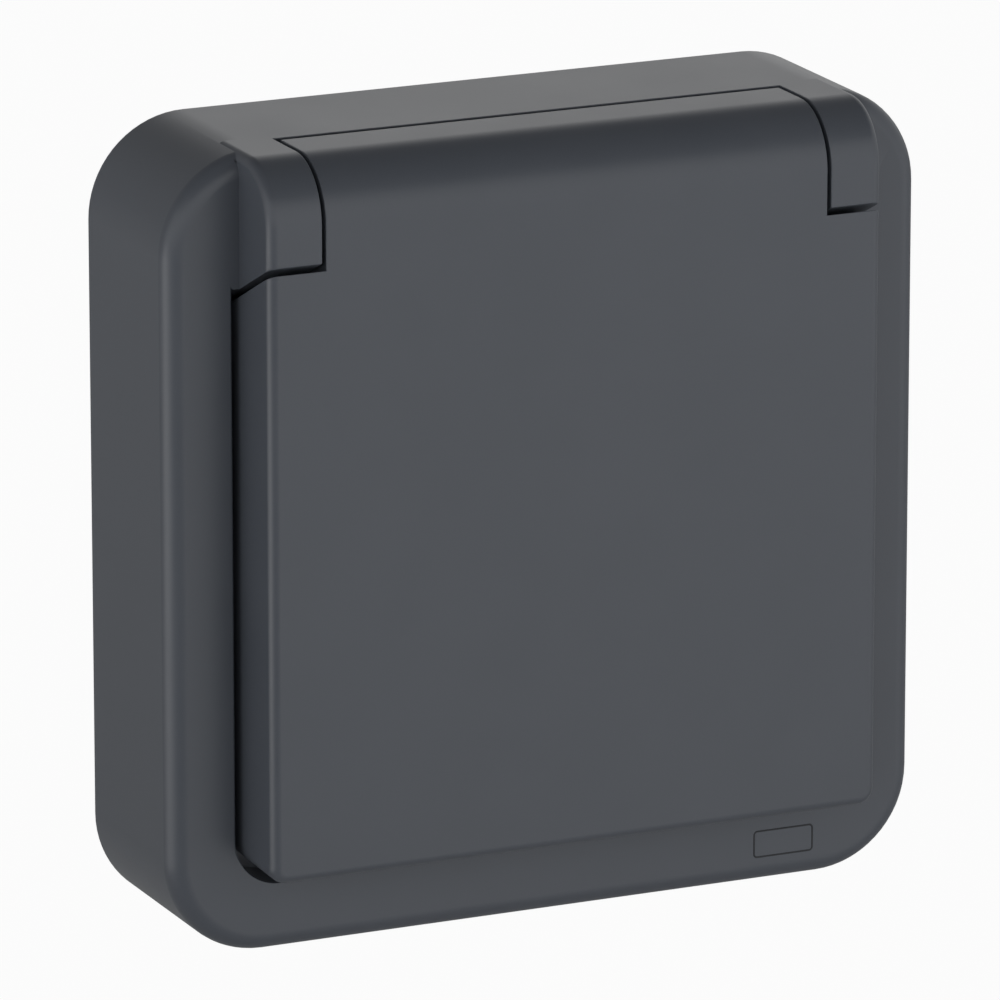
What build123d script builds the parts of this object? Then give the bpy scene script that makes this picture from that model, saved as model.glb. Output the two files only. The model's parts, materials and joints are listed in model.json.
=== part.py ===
from build123d import *
from math import asin, atan2, cos, degrees, hypot, pi, radians, sin, sqrt, tan
import os

os.makedirs("parts", exist_ok=True)

# Outdoor flush socket: a hood on the wall, a sprung lid, a type F dish and the insert in the wall box
# Millimetres; X to the right, Z up, the wall is the plane Y = 0 and the room lies towards -Y
# A height is the distance from the wall plane into the room, negative inside the wall box

# Hood
face_size = 80.0
corner_radius = 10.0
rim_height = 19.5
rim_round = 2.0
wall = 2.2
root_round = 0.15
rib_thickness = 1.2
rib_offset = 18.0

# Lid outline seen from the front, set in from the hood's edges, and its proud front face
side_rim = 7.6
bottom_rim = 9.0
lid_proud = 7.2
lid_top_round = 6.0
lid_edge_round = 1.0
lid_corner_round = 1.6
lid_wall = 2.0
grip_angle = 2.0

# Recess of the hood around the lid, with a wider gap below it
recess_gap = 0.8
lower_gap = 2.1
recess_corner = 4.6
floor_thickness = 2.4
tub_wall = 2.0
tub_corner = 3.0

# Hinge
ear_width = 5.5
ear_length = 9.7
ear_slope = 26.0
ear_side_gap = 0.4
ear_bottom_gap = 0.7
hinge_depth = 5.3
hinge_drop = 4.0
break_depth = 5.6
pin_radius = 1.0
pin_fit = 0.05
pin_press = 0.02
pin_cover = 2.0
pin_end_gap = 0.1
pin_sink = 0.4
barrel_gap = 0.6
barrel_end_angle = 52.0
barrel_skin = 1.6
hub_radius = 3.4

# Springs are wound in straight runs of square wire
runs_per_turn = 8

# Lid spring in a blind bore of the barrel, hooked into the ear and the lid
spring_wire = 0.6
spring_coil_radius = 1.7
spring_turns = 5
spring_pitch = 1.0
spring_bore = 2.5
spring_end_gap = 0.2
spring_hook = 1.4
hook_fit = 0.05

# Seals
seal_edge_gap = 0.3
seal_width = 1.8
seal_groove = 0.8
seal_proud = 1.4
seal_rest_gap = 0.25
lid_rib = 1.2
dish_seal_thickness = 0.4
wall_seal_width = 2.0
wall_seal_depth = 1.0
wall_seal_inset = 1.0
wall_seal_corner = 4.0

# Dish
flange_half = 24.5
flange_corner = 3.0
flange_thickness = 2.0
flange_chamfer = 0.5
dish_radius = 21.5
dish_wall = 1.4
dish_depth = 17.5
dish_floor = 2.0
dish_fit = 0.2
pole_offset = 9.5
pole_hole_radius = 2.8
guide_width = 4.8
guide_depth = 2.2
guide_drop = 3.0

# Centre screw
screw_radius = 1.75
screw_head_radius = 3.2
screw_length = 11.5
screw_hole_gap = 0.25
thread_fit = 0.03
screw_slot_width = 0.8
screw_slot_depth = 0.9

# Earth strap with its two clips
strap_thickness = 0.8
strap_width = 7.0
strap_edge_gap = 1.0
strap_bend = 1.2
clip_height = 14.0
clip_inset = 2.5
clip_slot_gap = 0.45
tab_width = 5.0

# Insulating block
base_half = 25.5
base_corner = 11.0
base_depth = 22.2
base_front_wall = 7.2
post_half = 2.4
rivet_offset = 18.2
cover_thickness = 2.0
cover_step = 0.6
peg_offset = 13.5
peg_size = 3.0
peg_length = 6.0
peg_fit = 0.03
wire_hole_size = 4.4

# Shutter
shutter_thickness = 1.6
shutter_half_width = 13.8
shutter_low = -4.4
shutter_high = 10.6
shutter_travel = 6.2
shutter_gap = 0.2
shutter_slot_gap = 0.65
ramp_depth = 1.0
lug_half_width = 1.9
lug_height = 1.2
coil_wire = 0.4
coil_radius = 1.3
coil_turns = 5
coil_stop = -17.0
coil_end_gap = 0.1
bridge_width = 2.0

# Contacts and terminals
contact_bore = 2.45
contact_wall = 0.7
contact_slit = 1.0
contact_length = 11.7
contact_gap = 0.3
tail_width = 5.0
tail_thickness = 0.8
clamp_inner = 15.8
clamp_outer = 22.2
clamp_half_width = 3.6
clamp_length = 8.0
clamp_wall = 1.2
clamp_window_half = 2.6
clamp_lift = 2.0
terminal_pocket_gap = 0.4
terminal_radius = 1.6
terminal_tip = 18.6
terminal_length = 5.0
access_gap = 0.6

# Support ring
ring_edge_gap = 2.3
ring_corner = 6.0
ring_thickness = 1.2
ring_fit = 0.5
slot_shift = 1.1
slot_length = 6.5
slot_width = 3.6
rivet_radius = 1.5
rivet_head_radius = 2.6
rivet_head_height = 0.8
rivet_depth = 9.0

# Derived sizes
half = face_size / 2
lid_height = rim_height + lid_proud
lid_half_width = half - side_rim
lid_bottom = bottom_rim - half
ear_inner = lid_half_width - ear_width
ear_bottom = half - ear_length
lid_upper_half = ear_inner - ear_side_gap
recess_half = lid_half_width + recess_gap
recess_bottom = lid_bottom - lower_gap
hinge_height = lid_height - hinge_depth
hinge_z = half - hinge_drop
lid_break = hinge_height - break_depth
pin_left = pin_cover - lid_half_width
pin_right = lid_half_width - pin_sink
barrel_radius = hypot(hinge_height - lid_break, half - hinge_z)
barrel_clear = barrel_radius + barrel_gap
floor_height = hinge_height - barrel_clear
floor_back = floor_height - floor_thickness
break_height = hinge_height - sqrt(barrel_clear**2 - (half - hinge_z) ** 2)
break_angle = 180 - degrees(atan2(half - hinge_z, hinge_height - lid_break))
seat_angle = 180 - degrees(asin((half - hinge_z) / barrel_clear))
hub_bottom = hinge_z - hub_radius
barrel_inside = hinge_height - sqrt(barrel_radius**2 - hub_radius**2) + barrel_skin
spring_length = spring_pitch * spring_turns
spring_start = lid_upper_half - spring_length - spring_wire / 2 - spring_end_gap
spring_floor = spring_start - spring_wire / 2 - spring_end_gap
lid_inside = lid_height - lid_wall
seal_inner = flange_half + seal_edge_gap
seal_outer = seal_inner + seal_width
seal_top = floor_height + seal_proud
rib_end = seal_top + seal_rest_gap
lid_back = rib_end
seal_centre = seal_inner + seal_width / 2
flange_back = floor_height + dish_seal_thickness
flange_front = flange_back + flange_thickness
dish_inside = flange_front - dish_depth
dish_back = dish_inside - dish_floor
dish_outer = dish_radius + dish_wall
strap_reach = dish_radius - strap_edge_gap - strap_thickness / 2
base_front = dish_back
base_back = base_front - base_depth
shutter_front = dish_back - shutter_gap
shutter_back = shutter_front - shutter_thickness
shutter_pocket = shutter_back - shutter_gap
coil_axis = shutter_front - coil_radius - coil_wire / 2
coil_length = shutter_low - coil_stop - coil_wire - 2 * coil_end_gap
strap_front = coil_axis - coil_radius - coil_wire / 2 - 2 * shutter_gap
strap_back = strap_front - strap_thickness
chamber_front = base_front - base_front_wall
contact_front = chamber_front - contact_gap
contact_back = contact_front - contact_length
contact_outer = contact_bore + contact_wall
chamber_inner = pole_offset - contact_outer - contact_gap
chamber_outer = clamp_outer + terminal_pocket_gap
chamber_half = clamp_half_width + terminal_pocket_gap
tail_inner = clamp_inner + clamp_wall
clamp_front = chamber_front - clamp_lift
clamp_middle = clamp_front - clamp_length / 2
wire_offset = (tail_inner + tail_thickness + clamp_outer - clamp_wall) / 2
cavity_half = half - wall
ring_half = cavity_half - ring_edge_gap
ring_bore = dish_outer + ring_fit
slot_offset = (ring_bore + ring_half + slot_shift) / 2
wall_seal_half = half - wall_seal_inset
grip_rise = tan(radians(grip_angle))
ear_rise = tan(radians(ear_slope))
shoulder_top = ear_bottom - ear_bottom_gap

# Sketch plane seen from the side: first axis is the height, second axis is Z
side = Plane(origin=(0, 0, 0), x_dir=(0, -1, 0), z_dir=(-1, 0, 0))


# Sketch plane parallel to the wall at a given height, seen from the room
def facing(height):
    return Plane.XZ.offset(height)


# Sketch plane across the hinge axis at a given X, with height and Z as its axes
def across(x):
    return Plane(origin=(x, 0, 0), x_dir=(0, -1, 0), z_dir=(-1, 0, 0))


# Sketch plane of a terminal screw: its normal points outwards at the given angle round the dish axis
def terminal_plane(angle, reach):
    out = Vector(cos(radians(angle)), 0, sin(radians(angle)))
    return Plane(origin=out * reach - Vector(0, clamp_middle, 0), x_dir=(0, -1, 0), z_dir=out)


terminal_angles = (0, 90, 180)
rivet_spots = ((-rivet_offset, rivet_offset), (rivet_offset, -rivet_offset))
peg_spots = ((-peg_offset, peg_offset), (peg_offset, -peg_offset))


# Centre line of a spring: straight runs that wind round the third axis of the plane it is drawn on
def coil(turns, length, radius):
    runs = turns * runs_per_turn
    points = []
    for run in range(runs + 1):
        angle = 2 * pi * run / runs_per_turn
        points.append((radius * cos(angle), radius * sin(angle), length * run / runs))
    return Polyline(*points)


spring_plane = Plane(origin=(spring_start, -hinge_height, hinge_z), x_dir=(0, 1, 0), z_dir=(1, 0, 0))
with BuildLine(spring_plane) as spring_path:
    coil(spring_turns, spring_length, spring_coil_radius)

with BuildLine(Plane(origin=(0, -coil_axis, coil_stop + coil_wire / 2 + coil_end_gap))) as coil_path:
    coil(coil_turns, coil_length, coil_radius)

# Lid recess: cut-out of the hood below the ears, open to the top between them
with BuildPart() as recess:
    with BuildSketch(facing(floor_height)):
        with BuildLine():
            Polyline(
                (-recess_half, half),
                (-recess_half, recess_bottom),
                (recess_half, recess_bottom),
                (recess_half, half),
                close=True,
            )
        make_face()
        fillet(vertices().group_by(Axis.Y)[0], recess_corner)
    extrude(amount=lid_height)
    with BuildSketch(side):
        with BuildLine():
            Polyline(
                (0, -half),
                (2 * lid_height, -half),
                (2 * lid_height, ear_bottom + lid_height * ear_rise),
                (0, ear_bottom - lid_height * ear_rise),
                close=True,
            )
        make_face()
    extrude(amount=face_size, both=True, mode=Mode.INTERSECT)
    with BuildSketch(side):
        with BuildLine():
            seat_arc = CenterArc((hinge_height, hinge_z), barrel_clear, 180, seat_angle - 180)
            Polyline(
                seat_arc @ 1,
                (break_height, face_size),
                (2 * lid_height, face_size),
                (2 * lid_height, 0),
                (floor_height, 0),
                seat_arc @ 0,
            )
        make_face()
    extrude(amount=ear_inner, both=True)

# Hinge ears: the lid's side profile carried up to the top, with the same rounded outer edge
with BuildPart() as ears:
    with BuildSketch(side):
        with BuildLine():
            ear_arc = CenterArc((lid_height - lid_top_round, half - lid_top_round), lid_top_round, 0, 90)
            Polyline(
                ear_arc @ 1,
                (floor_height, half),
                (floor_height, ear_bottom - (lid_height - floor_height) * ear_rise),
                (lid_height, ear_bottom),
                ear_arc @ 0,
            )
        make_face()
    extrude(amount=lid_half_width, both=True)
    ear_sides = ears.faces().filter_by(Axis.X).edges()
    ear_front = ear_sides.filter_by_position(Axis.Y, -lid_height, -lid_height)
    fillet(ear_front + ear_sides.filter_by(GeomType.CIRCLE) + ear_sides.group_by(Axis.Z)[-1], lid_edge_round)

# Hood: outer block with a rounded front edge, two ears, hollow behind, with the tub of the lid recess
with BuildPart() as housing_frame:
    with BuildSketch(facing(0)):
        RectangleRounded(face_size, face_size, corner_radius)
    extrude(amount=rim_height)
    fillet(housing_frame.faces().sort_by(Axis.Y)[0].edges(), rim_round)
    add(ears.part)
    ear_roots = housing_frame.edges().filter_by(Axis.Z).filter_by_position(Axis.Y, -rim_height, -rim_height)
    fillet(ear_roots.filter_by_position(Axis.X, -lid_half_width, lid_half_width), root_round)
    with BuildSketch(facing(0)):
        RectangleRounded(2 * cavity_half, 2 * cavity_half, corner_radius - wall)
    extrude(amount=rim_height - wall, mode=Mode.SUBTRACT)
    with BuildSketch(facing(0)):
        RectangleRounded(2 * wall_seal_half, 2 * wall_seal_half, corner_radius - wall_seal_inset)
    extrude(amount=wall_seal_depth, mode=Mode.SUBTRACT)
    with BuildSketch(facing(floor_back)):
        with BuildLine():
            Polyline(
                (-recess_half - tub_wall, cavity_half),
                (-recess_half - tub_wall, recess_bottom - tub_wall),
                (recess_half + tub_wall, recess_bottom - tub_wall),
                (recess_half + tub_wall, cavity_half),
                close=True,
            )
        make_face()
        chamfer(vertices().group_by(Axis.Y)[0], tub_corner)
    extrude(amount=rim_height - wall - floor_back)
    with BuildSketch(facing(floor_back)):
        for x in (-rib_offset, rib_offset):
            with Locations((x, (recess_bottom - half) / 2)):
                Rectangle(rib_thickness, half + recess_bottom)
        for z in (-rib_offset, rib_offset):
            for x in (-1, 1):
                with Locations((x * (half + recess_half) / 2, z)):
                    Rectangle(half - recess_half, rib_thickness)
    extrude(amount=rim_height - wall - floor_back)
    add(recess.part, mode=Mode.SUBTRACT)
    with BuildSketch(facing(floor_back)):
        RegularPolygon(dish_outer + dish_fit, 8, major_radius=False, rotation=22.5)
    extrude(amount=floor_thickness, mode=Mode.SUBTRACT)
    with BuildSketch(facing(floor_height - seal_groove)):
        Rectangle(2 * seal_outer, 2 * seal_outer)
        Rectangle(2 * seal_inner, 2 * seal_inner, mode=Mode.SUBTRACT)
    extrude(amount=seal_groove, mode=Mode.SUBTRACT)
    with BuildSketch(across(pin_left)):
        with Locations((hinge_height, hinge_z)):
            Circle(pin_radius + pin_press)
    extrude(amount=pin_left - lid_half_width - lid_edge_round, mode=Mode.SUBTRACT)
    with BuildSketch(Plane(origin=spring_path.line @ 1, x_dir=(0, 1, 0), z_dir=(1, 0, 0))):
        Rectangle(spring_wire + 2 * hook_fit, spring_wire + 2 * hook_fit)
    extrude(amount=ear_inner + spring_hook + hook_fit - (spring_path.line @ 1).X, mode=Mode.SUBTRACT)

# Lid: outer form with shoulders below the ears and a barrel between them, hollow behind
with BuildPart() as lid:
    with BuildSketch(side):
        with BuildLine():
            Polyline(
                (lid_height, lid_bottom),
                (lid_height, shoulder_top),
                (lid_back, shoulder_top - (lid_height - lid_back) * ear_rise),
                (lid_back, lid_bottom + (lid_height - lid_back) * grip_rise),
                close=True,
            )
        make_face()
    extrude(amount=lid_half_width, both=True)
    fillet(lid.faces().sort_by(Axis.Z)[0].edges().filter_by(Axis.X, reverse=True), lid_corner_round)
    fillet(lid.faces().sort_by(Axis.Y)[0].edges().sort_by(Axis.Z)[:-1], lid_edge_round)
    with BuildSketch(side):
        with BuildLine():
            front_arc = CenterArc(
                (lid_height - lid_top_round, half - lid_top_round), lid_top_round, 0, 90
            )
            back_arc = CenterArc(
                (hinge_height, hinge_z), barrel_radius, break_angle, 180 + barrel_end_angle - break_angle
            )
            Line(front_arc @ 1, back_arc @ 0)
            Polyline(back_arc @ 1, ((back_arc @ 1).X, 0), (lid_height, 0), front_arc @ 0)
        make_face()
    extrude(amount=lid_upper_half, both=True)
    with BuildSketch(side):
        with BuildLine():
            Polyline(
                (lid_inside, lid_bottom + lid_wall * grip_rise + lid_wall / cos(radians(grip_angle))),
                (lid_inside, shoulder_top - lid_wall * ear_rise - lid_wall / cos(radians(ear_slope))),
                (0, shoulder_top - lid_height * ear_rise - lid_wall / cos(radians(ear_slope))),
                (0, lid_bottom + lid_height * grip_rise + lid_wall / cos(radians(grip_angle))),
                close=True,
            )
        make_face()
    extrude(amount=lid_half_width - lid_wall, both=True, mode=Mode.SUBTRACT)
    with BuildSketch(side):
        with BuildLine():
            Polyline(
                (lid_inside, 0),
                (lid_inside, hub_bottom),
                (barrel_inside, hub_bottom),
                (barrel_inside, hub_bottom - barrel_skin),
                (0, hub_bottom - barrel_skin),
                (0, 0),
                close=True,
            )
        make_face()
    extrude(amount=lid_upper_half - lid_wall, both=True, mode=Mode.SUBTRACT)
    with BuildSketch(facing(rib_end)):
        Rectangle(2 * seal_centre + lid_rib, 2 * seal_centre + lid_rib)
        Rectangle(2 * seal_centre - lid_rib, 2 * seal_centre - lid_rib, mode=Mode.SUBTRACT)
    extrude(amount=lid_inside - rib_end + lid_wall / 2)
    with BuildSketch(across(lid_upper_half)):
        with Locations((hinge_height, hinge_z)):
            Circle(pin_radius + pin_fit)
    extrude(amount=2 * lid_upper_half, mode=Mode.SUBTRACT)
    with BuildSketch(across(lid_upper_half)):
        with Locations((hinge_height, hinge_z)):
            Circle(spring_bore)
    extrude(amount=lid_upper_half - spring_floor, mode=Mode.SUBTRACT)
    with BuildSketch(Plane(origin=spring_path.line @ 0, x_dir=(0, 1, 0), z_dir=(-1, 0, 0))):
        Rectangle(spring_wire + 2 * hook_fit, spring_wire + 2 * hook_fit)
    extrude(amount=spring_hook + hook_fit, mode=Mode.SUBTRACT)

# Hinge pin
with BuildPart() as hinge_pin:
    with BuildSketch(across(pin_left + pin_end_gap)):
        with Locations((hinge_height, hinge_z)):
            Circle(pin_radius)
    extrude(amount=pin_left + pin_end_gap - pin_right)

# Lid spring: coil on the pin, one straight end in the lid and one in the ear
with BuildPart() as lid_spring:
    with BuildSketch(Plane(origin=spring_path.line @ 0, x_dir=(0, 1, 0), z_dir=spring_path.line % 0)):
        Rectangle(spring_wire, spring_wire)
    sweep(path=spring_path.line, transition=Transition.RIGHT)
    with BuildSketch(Plane(origin=spring_path.line @ 0, x_dir=(0, 1, 0), z_dir=(-1, 0, 0))):
        Rectangle(spring_wire, spring_wire)
    extrude(amount=spring_hook)
    with BuildSketch(Plane(origin=spring_path.line @ 1, x_dir=(0, 1, 0), z_dir=(1, 0, 0))):
        Rectangle(spring_wire, spring_wire)
    extrude(amount=ear_inner + spring_hook - (spring_path.line @ 1).X)

# Seals
with BuildPart() as lid_seal:
    with BuildSketch(facing(floor_height - seal_groove)):
        Rectangle(2 * seal_outer, 2 * seal_outer)
        Rectangle(2 * seal_inner, 2 * seal_inner, mode=Mode.SUBTRACT)
    extrude(amount=seal_groove + seal_proud)

with BuildPart() as wall_seal:
    with BuildSketch(facing(0)):
        RectangleRounded(2 * wall_seal_half, 2 * wall_seal_half, corner_radius - wall_seal_inset)
        with BuildSketch(mode=Mode.SUBTRACT):
            Rectangle(2 * (wall_seal_half - wall_seal_width), 2 * (wall_seal_half - wall_seal_width))
            chamfer(vertices(), wall_seal_corner)
    extrude(amount=wall_seal_depth)

with BuildPart() as dish_seal:
    with BuildSketch(facing(floor_height)):
        Rectangle(2 * flange_half, 2 * flange_half)
        chamfer(vertices(), flange_corner)
        RegularPolygon(dish_outer + dish_fit, 8, major_radius=False, rotation=22.5, mode=Mode.SUBTRACT)
    extrude(amount=dish_seal_thickness)

# Dish: flange on the hood's floor, round bowl with pin holes, clip slots and two guide ribs
with BuildPart() as socket_dish:
    with BuildSketch(facing(flange_back)):
        Rectangle(2 * flange_half, 2 * flange_half)
        chamfer(vertices(), flange_corner)
    extrude(amount=flange_thickness)
    chamfer(socket_dish.faces().sort_by(Axis.Y)[0].edges(), flange_chamfer)
    with BuildSketch(facing(dish_back)):
        Circle(dish_outer)
    extrude(amount=flange_back - dish_back)
    with BuildSketch(facing(dish_inside)):
        Circle(dish_radius)
    extrude(amount=dish_depth, mode=Mode.SUBTRACT)
    with BuildSketch(facing(dish_inside)):
        for x in (-1, 1):
            with Locations((x * (dish_radius - guide_depth / 2 + dish_wall / 4), 0)):
                Rectangle(guide_depth + dish_wall / 2, guide_width)
    extrude(amount=dish_depth - guide_drop)
    with BuildSketch(facing(dish_inside)):
        with Locations((-pole_offset, 0), (pole_offset, 0)):
            Circle(pole_hole_radius)
        with Locations((0, -strap_reach), (0, strap_reach)):
            Rectangle(strap_width + 2 * clip_slot_gap, strap_thickness + 2 * clip_slot_gap)
    extrude(amount=-dish_floor, mode=Mode.SUBTRACT)
    with Locations(facing(dish_inside)):
        CounterSinkHole(
            radius=screw_radius + screw_hole_gap,
            counter_sink_radius=screw_head_radius + screw_hole_gap,
            depth=dish_floor,
            counter_sink_angle=90,
        )

# Centre screw with a countersunk head
with BuildPart() as centre_screw:
    with BuildSketch(facing(dish_inside)):
        Circle(screw_head_radius)
    extrude(amount=screw_radius - screw_head_radius, taper=45)
    with BuildSketch(facing(dish_inside)):
        Circle(screw_radius)
    extrude(amount=-screw_length)
    with BuildSketch(facing(dish_inside)):
        Rectangle(3 * screw_head_radius, screw_slot_width)
    extrude(amount=-screw_slot_depth, mode=Mode.SUBTRACT)

# Shutter: plate with two holes above the pin holes, ramps that turn a push into a slide, and a spring lug
with BuildPart() as shutter:
    with BuildSketch(facing(shutter_front)):
        with Locations((0, (shutter_low + shutter_high) / 2)):
            Rectangle(2 * shutter_half_width, shutter_high - shutter_low)
        with Locations((-pole_offset, shutter_travel), (pole_offset, shutter_travel)):
            Rectangle(2 * pole_hole_radius, 2 * pole_hole_radius, mode=Mode.SUBTRACT)
        with Locations((0, shutter_travel / 2)):
            Rectangle(
                2 * (screw_radius + shutter_slot_gap),
                shutter_travel + 2 * (screw_radius + shutter_slot_gap),
                mode=Mode.SUBTRACT,
            )
    extrude(amount=-shutter_thickness)
    for x in (-pole_offset, pole_offset):
        with BuildSketch(across(x)):
            with BuildLine():
                Polyline(
                    (shutter_front, -pole_hole_radius),
                    (shutter_front, shutter_travel),
                    (shutter_front - ramp_depth, shutter_travel),
                    close=True,
                )
            make_face()
        extrude(amount=pole_hole_radius, both=True, mode=Mode.SUBTRACT)
    with BuildSketch(facing(shutter_back)):
        with Locations((0, shutter_low + lug_height / 2)):
            Rectangle(2 * lug_half_width, lug_height)
    extrude(amount=coil_axis - coil_radius - coil_wire / 2 - shutter_back)

# Shutter spring in the groove below the lug
with BuildPart() as shutter_spring:
    with BuildSketch(Plane(origin=coil_path.line @ 0, x_dir=(1, 0, 0), z_dir=coil_path.line % 0)):
        Rectangle(coil_wire, coil_wire)
    sweep(path=coil_path.line, transition=Transition.RIGHT)

# Insulating block: shutter pocket and strap groove in front, contact and terminal chambers behind
with BuildPart() as socket_base:
    with BuildSketch(facing(base_front)):
        Rectangle(2 * base_half, 2 * base_half)
        chamfer(vertices(), base_corner)
    extrude(amount=-base_depth)
    with BuildSketch(facing(base_front)):
        with Locations(*rivet_spots):
            Rectangle(2 * post_half, 2 * post_half, rotation=45)
    extrude(amount=-base_front)
    with BuildSketch(facing(base_front)):
        with Locations((0, (shutter_low - shutter_travel + shutter_high) / 2)):
            Rectangle(
                2 * (shutter_half_width + shutter_gap),
                shutter_high - shutter_low + shutter_travel + 2 * shutter_gap,
            )
    extrude(amount=shutter_pocket - base_front, mode=Mode.SUBTRACT)
    with BuildSketch(facing(base_front)):
        Rectangle(strap_width + 2 * shutter_gap, 2 * strap_reach + strap_thickness + 2 * clip_slot_gap)
    extrude(amount=strap_back - base_front, mode=Mode.SUBTRACT)
    with BuildSketch(facing(base_front)):
        with Locations((0, coil_stop - bridge_width / 2)):
            Rectangle(strap_width + 4 * shutter_gap, bridge_width)
    extrude(amount=strap_front + shutter_gap - base_front)
    with BuildSketch(facing(base_front)):
        with Locations((-pole_offset, 0), (pole_offset, 0)):
            Rectangle(2 * pole_hole_radius, 2 * pole_hole_radius)
        with Locations((0, tail_inner + tail_thickness / 2)):
            Rectangle(tab_width + 2 * shutter_gap, tail_thickness + 2 * shutter_gap)
    extrude(amount=-base_front_wall, mode=Mode.SUBTRACT)
    with BuildSketch(facing(base_front)):
        Circle(screw_radius + screw_hole_gap)
    extrude(amount=-base_front_wall - screw_hole_gap - screw_length / 4, mode=Mode.SUBTRACT)
    with BuildSketch(facing(base_back)):
        with Locations((-(chamber_inner + chamber_outer) / 2, 0), ((chamber_inner + chamber_outer) / 2, 0)):
            Rectangle(chamber_outer - chamber_inner, 2 * chamber_half)
        with Locations((0, (clamp_inner + clamp_outer) / 2)):
            Rectangle(2 * chamber_half, clamp_outer - clamp_inner + 2 * terminal_pocket_gap)
    extrude(amount=chamber_front - base_back, mode=Mode.SUBTRACT)
    for angle in terminal_angles:
        with BuildSketch(terminal_plane(angle, clamp_outer)):
            Rectangle(2 * (terminal_radius + access_gap), 2 * (terminal_radius + access_gap))
        extrude(amount=base_half - clamp_outer, mode=Mode.SUBTRACT)
    with BuildSketch(facing(base_back)):
        with Locations(*peg_spots):
            Rectangle(peg_size + 2 * peg_fit, peg_size + 2 * peg_fit)
    extrude(amount=peg_length + screw_hole_gap, mode=Mode.SUBTRACT)
    with BuildSketch(facing(0)):
        with Locations(*rivet_spots):
            Circle(rivet_radius + thread_fit)
    extrude(amount=-rivet_depth - screw_hole_gap, mode=Mode.SUBTRACT)

# Rear cover of the block with a wire window at each terminal, held by two pressed pegs
with BuildPart() as base_cover:
    with BuildSketch(facing(base_back)):
        Rectangle(2 * (base_half - cover_step), 2 * (base_half - cover_step))
        chamfer(vertices(), base_corner)
        with PolarLocations(wire_offset, 3, 0, 180, endpoint=True):
            Rectangle(wire_hole_size, wire_hole_size, mode=Mode.SUBTRACT)
    extrude(amount=-cover_thickness)
    with BuildSketch(facing(base_back)):
        with Locations(*peg_spots):
            Rectangle(peg_size, peg_size)
    extrude(amount=peg_length)

# Pole contacts: folded square sleeve with a slit, and a tail bent into its terminal clamp
with BuildPart() as line_contact:
    with BuildSketch(facing(contact_front)):
        with Locations((pole_offset, 0)):
            Rectangle(2 * contact_outer, 2 * contact_outer)
            Rectangle(2 * contact_bore, 2 * contact_bore, mode=Mode.SUBTRACT)
        with Locations((pole_offset - contact_outer, 0)):
            Rectangle(contact_outer, contact_slit, mode=Mode.SUBTRACT)
    extrude(amount=-contact_length)
    with BuildSketch(facing(contact_back)):
        with Locations(((pole_offset + tail_inner + tail_thickness) / 2, 0)):
            Rectangle(tail_inner + tail_thickness - pole_offset, tail_width)
    extrude(amount=-tail_thickness)
    with BuildSketch(facing(contact_back)):
        with Locations((tail_inner + tail_thickness / 2, 0)):
            Rectangle(tail_thickness, tail_width)
    extrude(amount=clamp_front - contact_back - contact_wall)

with BuildPart() as neutral_contact:
    mirror(line_contact.part, about=Plane.YZ)

# Earth strap: one bent strip with a clip at each end and a tab into the earth terminal
with BuildPart() as earth_strap:
    with BuildSketch(side):
        with BuildLine() as strap_line:
            Polyline(
                (clip_height, strap_reach - clip_inset / 3),
                (clip_height * 0.7, strap_reach - clip_inset),
                (clip_height * 0.2, strap_reach),
                (strap_front - strap_thickness / 2, strap_reach),
                (strap_front - strap_thickness / 2, -strap_reach),
                (clip_height * 0.2, -strap_reach),
                (clip_height * 0.7, clip_inset - strap_reach),
                (clip_height, clip_inset / 3 - strap_reach),
            )
            fillet(strap_line.vertices().group_by(Axis.X)[0], strap_bend)
        trace(strap_line.line, line_width=strap_thickness)
    extrude(amount=strap_width / 2, both=True)
    with BuildSketch(facing(strap_front)):
        Circle(screw_radius + thread_fit)
    extrude(amount=-strap_thickness, mode=Mode.SUBTRACT)
    with BuildSketch(facing(strap_front)):
        with Locations((0, tail_inner + tail_thickness / 2)):
            Rectangle(tab_width, tail_thickness)
    extrude(amount=clamp_front - clamp_length + contact_wall - strap_front)

# Terminals: three box clamps with their screws
with BuildPart() as terminal_clamps:
    with BuildSketch(facing(clamp_front)):
        with PolarLocations((clamp_inner + clamp_outer) / 2, 3, 0, 180, endpoint=True):
            Rectangle(clamp_outer - clamp_inner, 2 * clamp_half_width)
            Rectangle(clamp_outer - clamp_inner - 2 * clamp_wall, 2 * clamp_window_half, mode=Mode.SUBTRACT)
    extrude(amount=-clamp_length)
    for angle in terminal_angles:
        with BuildSketch(terminal_plane(angle, terminal_tip)):
            Circle(terminal_radius + thread_fit)
        extrude(amount=base_half - terminal_tip, mode=Mode.SUBTRACT)

with BuildPart() as terminal_screws:
    for angle in terminal_angles:
        with BuildSketch(terminal_plane(angle, terminal_tip)):
            Circle(terminal_radius)
        extrude(amount=terminal_length)
        with BuildSketch(terminal_plane(angle, terminal_tip + terminal_length)):
            Rectangle(3 * terminal_radius, screw_slot_width)
        extrude(amount=-screw_slot_depth, mode=Mode.SUBTRACT)

# Support ring on the wall box, with fixing slots across and up and down, riveted to the block
with BuildPart() as support_ring:
    with BuildSketch(facing(0)):
        Rectangle(2 * ring_half, 2 * ring_half)
        chamfer(vertices(), ring_corner)
        RegularPolygon(ring_bore, 8, major_radius=False, rotation=22.5, mode=Mode.SUBTRACT)
        with Locations((-slot_offset, 0), (slot_offset, 0)):
            SlotOverall(slot_length, slot_width, mode=Mode.SUBTRACT)
        with Locations((0, -slot_offset), (0, slot_offset)):
            SlotOverall(slot_length, slot_width, rotation=90, mode=Mode.SUBTRACT)
        with Locations(*rivet_spots):
            Circle(rivet_radius + thread_fit, mode=Mode.SUBTRACT)
    extrude(amount=ring_thickness)

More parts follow.
